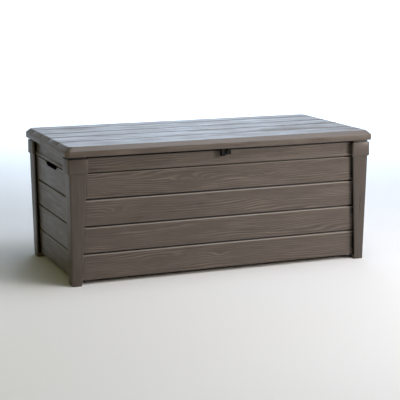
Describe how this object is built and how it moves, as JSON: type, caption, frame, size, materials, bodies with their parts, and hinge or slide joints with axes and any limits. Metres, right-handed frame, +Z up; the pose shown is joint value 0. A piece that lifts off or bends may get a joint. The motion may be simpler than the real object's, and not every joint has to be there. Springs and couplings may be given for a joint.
{
  "type": "deck storage box",
  "caption": "Low rectangular outdoor storage box with plank-look moulded walls, tapered corner posts with feet, side handle slots, and a hinged lid on gas struts with a padlock latch.",
  "frame": {"origin": "bottom centre of the whole box, on the ground between the four feet", "axes": "+X along the width, to the right when facing the box; the front with the latch faces -Y; +Z up"},
  "size_m": [1.45, 0.697, 0.603],
  "materials": {
    "box_resin": "injection-moulded polypropylene with embossed wood grain, taupe brown",
    "floor_resin": "moulded polypropylene, fine texture",
    "black_nylon": "moulded black nylon, fine satin",
    "hinge_nylon": "moulded glass-filled nylon",
    "screw_zinc": "bright zinc plate",
    "pin_steel": "turned steel",
    "bracket_steel": "black powder coat",
    "galvanised_tube": "galvanised",
    "strut_paint": "black enamel, semi-gloss",
    "rod_chrome": "hard chrome"
  },
  "bodies": {
    "box": {"centre_hinge_box_leaf": "hinge_nylon", "centre_hinge_pin": "pin_steel", "front_left_post": "box_resin", "front_right_post": "box_resin", "front_wall": "box_resin", "hinge_box_screws": "screw_zinc", "latch_keeper": "black_nylon", "latch_keeper_screws": "screw_zinc", "left_floor_panel": "floor_resin", "left_hinge_box_leaf": "hinge_nylon", "left_hinge_pin": "pin_steel", "left_strut_wall_bracket": "bracket_steel", "left_strut_wall_stud": "pin_steel", "left_wall": "box_resin", "post_screws": "screw_zinc", "rear_left_post": "box_resin", "rear_right_post": "box_resin", "rear_wall": "box_resin", "right_floor_panel": "floor_resin", "right_hinge_box_leaf": "hinge_nylon", "right_hinge_pin": "pin_steel", "right_strut_wall_bracket": "bracket_steel", "right_strut_wall_stud": "pin_steel", "right_wall": "box_resin", "wall_bracket_screws": "screw_zinc"},
    "lid": {"centre_hinge_lid_leaf": "hinge_nylon", "front_lid_bar": "galvanised_tube", "hinge_lid_screws": "screw_zinc", "latch_tongue": "black_nylon", "latch_tongue_screws": "screw_zinc", "left_hinge_lid_leaf": "hinge_nylon", "left_strut_lid_bracket": "bracket_steel", "left_strut_lid_stud": "pin_steel", "lid_bar_clips": "galvanised_tube", "lid_bracket_screws": "screw_zinc", "lid_shell": "box_resin", "rear_lid_bar": "galvanised_tube", "right_hinge_lid_leaf": "hinge_nylon", "right_strut_lid_bracket": "bracket_steel", "right_strut_lid_stud": "pin_steel"},
    "left_strut_cylinder": {"left_strut_cylinder": "strut_paint", "left_strut_cylinder_socket": "black_nylon"},
    "left_strut_rod": {"left_strut_rod": "rod_chrome", "left_strut_rod_socket": "black_nylon"},
    "right_strut_cylinder": {"right_strut_cylinder": "strut_paint", "right_strut_cylinder_socket": "black_nylon"},
    "right_strut_rod": {"right_strut_rod": "rod_chrome", "right_strut_rod_socket": "black_nylon"}
  },
  "joints": [
    {"name": "lid_hinge", "type": "hinge", "parent": "box", "child": "lid", "pos_m": [0, 0.334, 0.552], "axis": [-1, 0, 0], "range_deg": [0, 75]},
    {"name": "left_strut_wall_pivot", "type": "hinge", "parent": "box", "child": "left_strut_cylinder", "pos_m": [-0.655, 0.272, 0.3724], "axis": [-1, 0, 0], "range_deg": [0, 37.5]},
    {"name": "left_strut_lid_pivot", "type": "hinge", "parent": "lid", "child": "left_strut_rod", "pos_m": [-0.655, 0.144, 0.552], "axis": [-1, 0, 0], "range_deg": [-37.5, 0]},
    {"name": "right_strut_wall_pivot", "type": "hinge", "parent": "box", "child": "right_strut_cylinder", "pos_m": [0.655, 0.272, 0.3724], "axis": [-1, 0, 0], "range_deg": [0, 37.5]},
    {"name": "right_strut_lid_pivot", "type": "hinge", "parent": "lid", "child": "right_strut_rod", "pos_m": [0.655, 0.144, 0.552], "axis": [-1, 0, 0], "range_deg": [-37.5, 0]}
  ],
  "couplings": [
    {"joint": "left_strut_wall_pivot", "follows": "lid_hinge", "ratio": 0.5},
    {"joint": "left_strut_lid_pivot", "follows": "lid_hinge", "ratio": -0.5},
    {"joint": "right_strut_wall_pivot", "follows": "lid_hinge", "ratio": 0.5},
    {"joint": "right_strut_lid_pivot", "follows": "lid_hinge", "ratio": -0.5}
  ]
}
